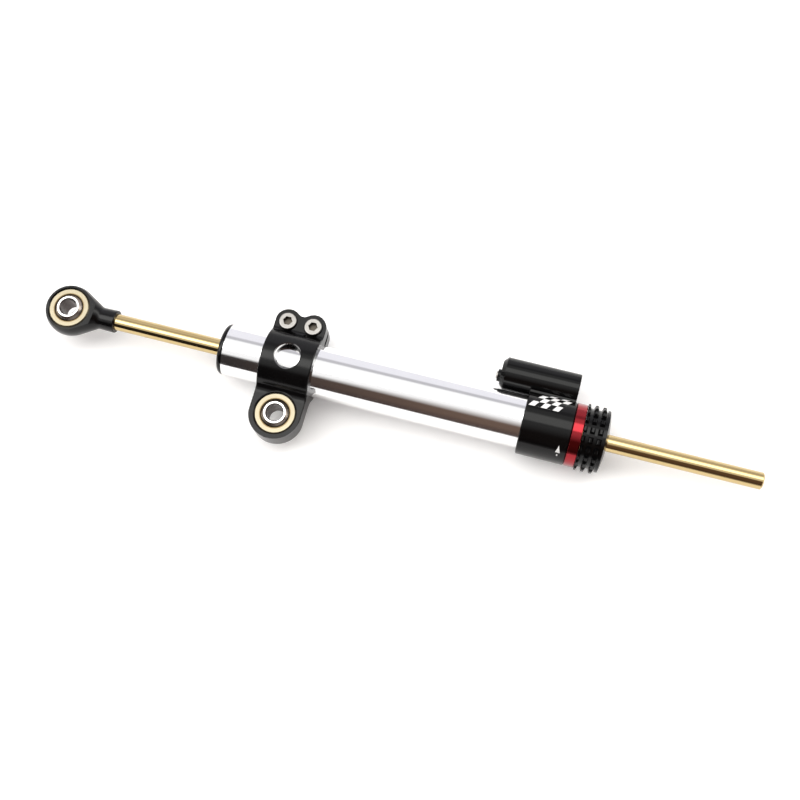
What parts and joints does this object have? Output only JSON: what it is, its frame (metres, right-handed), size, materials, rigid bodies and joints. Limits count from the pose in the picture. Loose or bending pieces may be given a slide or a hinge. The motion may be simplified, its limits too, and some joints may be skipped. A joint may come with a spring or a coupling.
{
  "type": "motorcycle steering damper",
  "caption": "Linear motorcycle steering damper: through rod with a rod end, tube clamp with a spherical bearing, side reservoir and a click adjuster knob.",
  "frame": {"origin": "centre of the clamp's spherical bearing, which is where the damper bolts to the frame", "axes": "+X along the rod, from the rod end to the free tip; +Z along both bearing bores, to the side of the clamp's screw heads; +Y from the clamp's bearing to the tube"},
  "size_m": [0.3468, 0.0668, 0.031],
  "materials": {
    "black_anodised": "satin",
    "red_anodised": "satin",
    "polished_tube": "polished",
    "gold_coated": "polished",
    "race_brass": "satin",
    "chromed_ball": "polished",
    "stainless": "satin",
    "plain_steel": "satin",
    "plain_aluminium": "satin",
    "bronze": "satin",
    "slide_plastic": "matte",
    "seal_rubber": "matte"
  },
  "bodies": {
    "barrel": {"damper_tube": "polished_tube", "inner_tube": "plain_steel", "gland_head": "black_anodised", "gland_bush": "bronze", "gland_seal": "seal_rubber", "gland_wiper": "seal_rubber", "gland_o_ring": "seal_rubber", "guide_head": "plain_aluminium", "guide_bush": "bronze", "guide_seal": "seal_rubber", "housing_o_ring": "seal_rubber", "valve_housing": "black_anodised", "collar_ring": "red_anodised", "reservoir_cap": "black_anodised", "cap_o_ring": "seal_rubber", "fill_screw": "stainless", "detent_spring": "plain_steel"},
    "band_carrier": {"piston_band": "slide_plastic"},
    "rod_assembly": {"piston_rod": "gold_coated", "piston": "plain_aluminium", "piston_clips": "plain_steel", "rod_end_housing": "black_anodised", "rod_end_race": "race_brass"},
    "rod_end_swivel": {"rod_end_liner": "slide_plastic"},
    "rod_end_ball_body": {"rod_end_ball": "chromed_ball"},
    "clamp": {"clamp_body": "black_anodised", "clamp_race": "race_brass", "clamp_screws": "stainless"},
    "clamp_swivel": {"clamp_liner": "slide_plastic"},
    "clamp_ball_body": {"clamp_ball": "chromed_ball"},
    "knob": {"adjuster_knob": "black_anodised", "valve_sleeve": "bronze", "sleeve_o_rings": "seal_rubber"},
    "detent": {"detent_ball": "plain_steel"},
    "float": {"floating_piston": "plain_aluminium", "float_o_ring": "seal_rubber"}
  },
  "joints": [
    {"name": "rod_slide", "type": "slide", "parent": "barrel", "child": "band_carrier", "axis": [1, 0, 0], "range_m": [-0.0629, 0.0437]},
    {"name": "rod_spin", "type": "hinge", "parent": "band_carrier", "child": "rod_assembly", "pos_m": [0, 0.0256, 0], "axis": [1, 0, 0], "continuous": true},
    {"name": "rod_end_ball_spin", "type": "hinge", "parent": "rod_assembly", "child": "rod_end_swivel", "pos_m": [-0.112, 0.0256, 0], "axis": [0, 0, 1], "continuous": true},
    {"name": "rod_end_ball_tilt", "type": "hinge", "parent": "rod_end_swivel", "child": "rod_end_ball_body", "pos_m": [-0.112, 0.0256, 0], "axis": [0, 1, 0], "range_deg": [-13, 13]},
    {"name": "clamp_slide", "type": "slide", "parent": "barrel", "child": "clamp", "axis": [1, 0, 0], "range_m": [-0.018, 0.08]},
    {"name": "clamp_ball_spin", "type": "hinge", "parent": "clamp", "child": "clamp_swivel", "pos_m": [0, 0, 0], "axis": [0, 0, 1], "continuous": true},
    {"name": "clamp_ball_tilt", "type": "hinge", "parent": "clamp_swivel", "child": "clamp_ball_body", "pos_m": [0, 0, 0], "axis": [0, 1, 0], "range_deg": [-13, 13]},
    {"name": "knob_turn", "type": "hinge", "parent": "barrel", "child": "knob", "pos_m": [0, 0.0256, 0], "axis": [1, 0, 0], "range_deg": [-162, 180]},
    {"name": "detent_click", "type": "slide", "parent": "barrel", "child": "detent", "axis": [1, 0, 0], "range_m": [0, 0.0003], "stiffness_N_per_m": 2500, "springref_m": 0.0018, "deforming": ["detent_spring"]},
    {"name": "float_slide", "type": "slide", "parent": "barrel", "child": "float", "axis": [1, 0, 0], "range_m": [-0.003, 0.003]}
  ]
}
